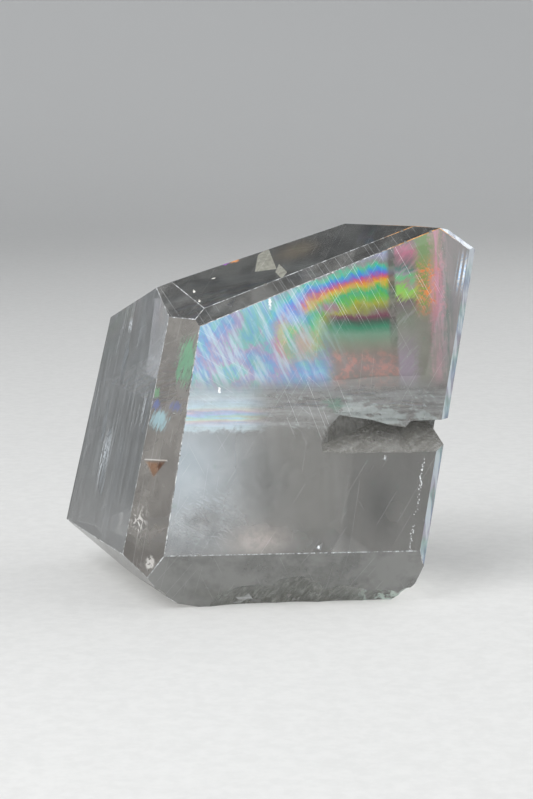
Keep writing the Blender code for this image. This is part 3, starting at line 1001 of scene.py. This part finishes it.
def finish_index(face, mark):
    """Which material a face takes: its facet's, or the worn, chipped or broken one."""
    if face[mark]:
        return len(stones) - WORN
    for index, ways in enumerate(FINISHES):
        if any(face.normal.dot(facing(*way)) > SAME_FACET for way in ways):
            return index
    if in_wedge(face.calc_center_median()) and not on_main_facet(face):
        return len(stones) - BROKEN
    if face.calc_area() < SHELL_FACE_AREA * MM * MM:
        return len(stones) - SHELL
    return len(FINISHES)


def make_crystal():
    rng = random.Random(7)
    work = crystal_bmesh()
    edges = []
    for edge in long_facet_edges(work):
        outward = (edge.link_faces[0].normal + edge.link_faces[1].normal).normalized()
        edges.append((edge.verts[0].co.copy(), edge.verts[1].co.copy(), outward))
    mark = blunt_edges(work, long_facet_edges(work))
    roughen_wedge(work)
    keep_in_box(work)
    for face in work.faces:
        face.material_index = finish_index(face, mark)
        face.smooth = face.calc_area() < SHELL_FACE_AREA * MM * MM and not in_wedge(
            face.calc_center_median())
    body = from_bmesh("crystal", work)
    cutter_mesh = bmesh.new()
    for centre, size in chip_cutters(edges, rng):
        lump(cutter_mesh, centre, size, rng)
    cutter = from_bmesh("edge_chips", cutter_mesh)
    for material in stones:
        body.data.materials.append(material)
    cutter.data.materials.append(broken)
    cut = body.modifiers.new("chips", "BOOLEAN")
    cut.operation = "DIFFERENCE"
    cut.solver = "EXACT"
    cut.use_self = True
    cut.material_mode = "TRANSFER"
    cut.object = cutter
    bpy.context.view_layer.update()
    depsgraph = bpy.context.evaluated_depsgraph_get()
    shaped = bpy.data.meshes.new_from_object(body.evaluated_get(depsgraph))
    body.modifiers.clear()
    body.data = shaped
    bpy.data.objects.remove(cutter)
    finish_piece(body)
    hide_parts("calcite_rhomb")
    return body


# ------------------------------------------------------------------ inner cracks
def sheet(name, outline, spot, thickness_mm, wave_mm, material, rings=10, points=64, seed=0.0):
    """A thin closed sheet inside an outline: spot(a, b) gives each point, in metres."""
    centre = Vector((sum(p[0] for p in outline), sum(p[1] for p in outline))) / len(outline)
    corners = [Vector(p) for p in outline]
    lengths = [(corners[(i + 1) % len(corners)] - corners[i]).length for i in range(len(corners))]
    total = sum(lengths)
    rim = []
    for number in range(points):
        left = total * number / points
        index = 0
        while left > lengths[index]:
            left -= lengths[index]
            index += 1
        along = corners[index].lerp(corners[(index + 1) % len(corners)], left / lengths[index])
        jag = 1.0 - 0.05 * abs(noise.noise(Vector((along.x * 0.6, along.y * 0.6, seed))))
        rim.append(centre + (along - centre) * jag)
    facing_out = (spot(centre.x + 1, centre.y) - spot(centre.x, centre.y)).cross(
        spot(centre.x, centre.y + 1) - spot(centre.x, centre.y)).normalized()
    work = bmesh.new()
    layers = []
    for side in (0.5, -0.5):
        grid = [[work.verts.new(spot(centre.x, centre.y) + facing_out * side * thickness_mm * MM)]]
        for ring in range(1, rings + 1):
            row = []
            for point in rim:
                flat = centre + (point - centre) * (ring / rings)
                wave = noise.noise(Vector((flat.x * 0.12, flat.y * 0.12, seed + 5.0))) * wave_mm
                thin = thickness_mm * (1.0 - 0.6 * ring / rings)
                row.append(work.verts.new(
                    spot(flat.x, flat.y) + facing_out * (wave + side * thin) * MM))
            grid.append(row)
        layers.append(grid)
    for side, grid in enumerate(layers):
        for k in range(points):
            n = (k + 1) % points
            first = [grid[0][0], grid[1][k], grid[1][n]]
            work.faces.new(first if side == 0 else first[::-1])
            for ring in range(1, rings):
                quad = [grid[ring][k], grid[ring + 1][k], grid[ring + 1][n], grid[ring][n]]
                work.faces.new(quad if side == 0 else quad[::-1])
    for k in range(points):
        n = (k + 1) % points
        top, low = layers[0][rings], layers[1][rings]
        work.faces.new((top[n], top[k], low[k], low[n]))
    bmesh.ops.recalc_face_normals(work, faces=work.faces[:])
    for face in work.faces:
        face.smooth = True
    return finish_piece(from_bmesh(name, work), material)


def flake(name, corners, thickness_mm, material):
    """A small flat splinter from its corner points, in metres."""
    work = bmesh.new()
    normal = (corners[1] - corners[0]).cross(corners[2] - corners[0]).normalized()
    top = [work.verts.new(c + normal * thickness_mm * 0.5 * MM) for c in corners]
    low = [work.verts.new(c - normal * thickness_mm * 0.5 * MM) for c in corners]
    work.faces.new(top)
    work.faces.new(low[::-1])
    for k in range(len(corners)):
        n = (k + 1) % len(corners)
        work.faces.new((top[n], top[k], low[k], low[n]))
    bmesh.ops.recalc_face_normals(work, faces=work.faces[:])
    return finish_piece(from_bmesh(name, work), material)


def make_inner_cracks():
    sheet("rainbow_crack", [(9.5, 42.0), (5.5, 30.5), (14.0, 30.0), (30.0, 32.0), (46.0, 33.0),
                            (53.5, 33.0), (58.5, 52.0), (56.5, 59.5), (45.0, 55.5), (25.0, 48.0)],
          lambda a, b: under("front", a, b, RAINBOW_DEPTH), CRACK_THICKNESS, 0.35,
          rainbow_material(), 16, 96, 1.0)
    sheet("level_crack", [(3.0, 9.5), (20.0, 9.0), (32.0, 9.0), (54.5, 9.0), (50.0, 30.0),
                          (44.0, 52.0), (20.0, 53.0), (-4.0, 50.0), (0.0, 30.0)],
          lambda a, b: place(a, b, LEVEL_CRACK_HEIGHT), CRACK_THICKNESS, 0.5,
          silver_material(), 16, 96, 2.0)
    feathers = feather_material()
    for number, (right, up, long, wide, depth) in enumerate((
            (-9.0, 12.5, 15.0, 5.0, 1.2), (-8.6, 20.0, 10.0, 3.0, 2.2), (-1.8, 25.0, 9.0, 2.2, 1.0),
            (-4.5, 33.0, 10.0, 4.0, 2.5))):
        climb = Vector((math.sin(0.22), 0.25, 1.0)).normalized()
        deep = Vector((-math.cos(PLANE_ANGLE), math.sin(PLANE_ANGLE), 0.0))
        middle = under("left", right, up, depth)
        sheet("feather_%d" % (number + 1),
              [(-wide / 2, -long / 2), (wide / 4, -long / 2.4), (wide / 2, long / 3),
               (0, long / 2), (-wide / 3, long / 4)],
              lambda a, b, m=middle: m + (deep * a + climb * b) * MM, 0.04, 0.2, feathers,
              6, 32, 3.0 + number)
    white = flake_material()
    for number, (facet, right, up, size, depth) in enumerate((
            ("front", 12.0, 30.6, 0.9, 0.8), ("front", 30.5, 0.9, 0.8, 0.6),
            ("front", 22.0, 47.6, 1.2, 0.5), ("top front facet", 14.7, 47.8, 0.9, 0.8),
            ("front", 44.3, 17.3, 0.6, 0.6))):
        middle = under(facet, right, up, depth)
        flake("flake_%d" % (number + 1),
              [middle + Vector((size, 0.1, size * 0.9)) * MM,
               middle + Vector((-size, 0.0, -size * 0.3)) * MM,
               middle + Vector((size * 0.4, -0.1, -size)) * MM], 0.08, white)
    grain = under("front left bevel", -0.5, 16.8, 1.2)
    flake("brown_grain", [grain + Vector((-1.9, 1.6, 0.0)) * MM, grain + Vector((1.7, -1.7, 0.6)) * MM,
                          grain + Vector((-0.4, 0.2, -2.9)) * MM], 1.0, inclusion_material())


# ------------------------------------------------------------------ studio
# Lamps: name, azimuth and elevation in degrees, distance and size in metres, watts.
LAMPS = (
    ("key", -55, 50, 1.0, (0.6, 0.6), 10.8),
    ("sheen", 3, 18, 1.1, (0.17, 0.17), 0.30),
    ("fill", 75, 35, 1.2, (0.8, 0.8), 4.2),
    ("back", 120, 35, 1.2, (0.8, 0.6), 3.4))


def aim(item, target):
    item.rotation_mode = "QUATERNION"
    item.rotation_quaternion = (target - item.location).to_track_quat("-Z", "Y")


def make_camera():
    lens = bpy.data.cameras.new("camera")
    lens.lens = LENS_MM
    lens.clip_start = 0.01
    camera = add_object("camera", lens)
    camera.location = AIM + facing(CAMERA_AZIMUTH, CAMERA_ELEVATION) * CAMERA_DISTANCE
    aim(camera, AIM)
    scene.camera = camera
    scene.view_settings.view_transform = "Standard"


def area_light(name, azimuth, elevation, distance, size, watts):
    data = bpy.data.lights.new(name, "AREA")
    data.shape = "RECTANGLE"
    data.size, data.size_y = size
    data.energy = watts
    lamp = add_object(name, data)
    lamp.location = AIM + facing(azimuth, elevation) * distance
    aim(lamp, AIM)


def make_studio():
    """One seamless pale sheet: a round floor that curves up into a wall."""
    work = bmesh.new()
    profile = [(0.0, 0.0), (0.7, 0.0), (WALL_RADIUS - WALL_CURVE, 0.0)]
    for step in range(1, 13):
        turn = math.radians(90.0 * step / 12)
        profile.append((WALL_RADIUS - WALL_CURVE + WALL_CURVE * math.sin(turn),
                        WALL_CURVE - WALL_CURVE * math.cos(turn)))
    profile.append((WALL_RADIUS, WALL_HEIGHT))
    turns = 96
    rings = []
    for radius, height in profile[1:]:
        rings.append([work.verts.new((radius * math.cos(2 * math.pi * k / turns),
                                      radius * math.sin(2 * math.pi * k / turns), height))
                      for k in range(turns)])
    middle = work.verts.new((0.0, 0.0, 0.0))
    for k in range(turns):
        n = (k + 1) % turns
        work.faces.new((middle, rings[0][k], rings[0][n]))
        for low, high in zip(rings, rings[1:]):
            work.faces.new((low[k], high[k], high[n], low[n]))
    for face in work.faces:
        face.smooth = True
    floor = from_bmesh("floor", work)
    g = Graph("pale sheet")
    mm = g.millimetres()
    speck = g.noise(mm, 0.4, 4.0, 0.6)
    paper = g.blend(g.span(speck, 0.3, 0.7), (0.60, 0.60, 0.59), (0.64, 0.64, 0.63))
    away = g.node("VectorMath", operation="LENGTH")
    g.put(away.inputs[0], mm)
    g.set("Base Color", g.blend(g.span(away.outputs["Value"], 900.0, 2000.0), paper, (0.88, 0.88, 0.87)))
    g.set("Roughness", 0.6)
    floor.data.materials.append(g.material)
    world = bpy.data.worlds.new("studio")
    scene.world = world
    world.use_nodes = True
    sky = world.node_tree.nodes["Background"]
    sky.inputs["Color"].default_value = (0.50, 0.52, 0.55, 1.0)
    sky.inputs["Strength"].default_value = 0.64
    for lamp in LAMPS:
        area_light(*lamp)


broken = broken_material()
stones = stone_materials() + [worn_material(), shell_material(), broken]
make_camera()
make_studio()
make_crystal()
make_inner_cracks()
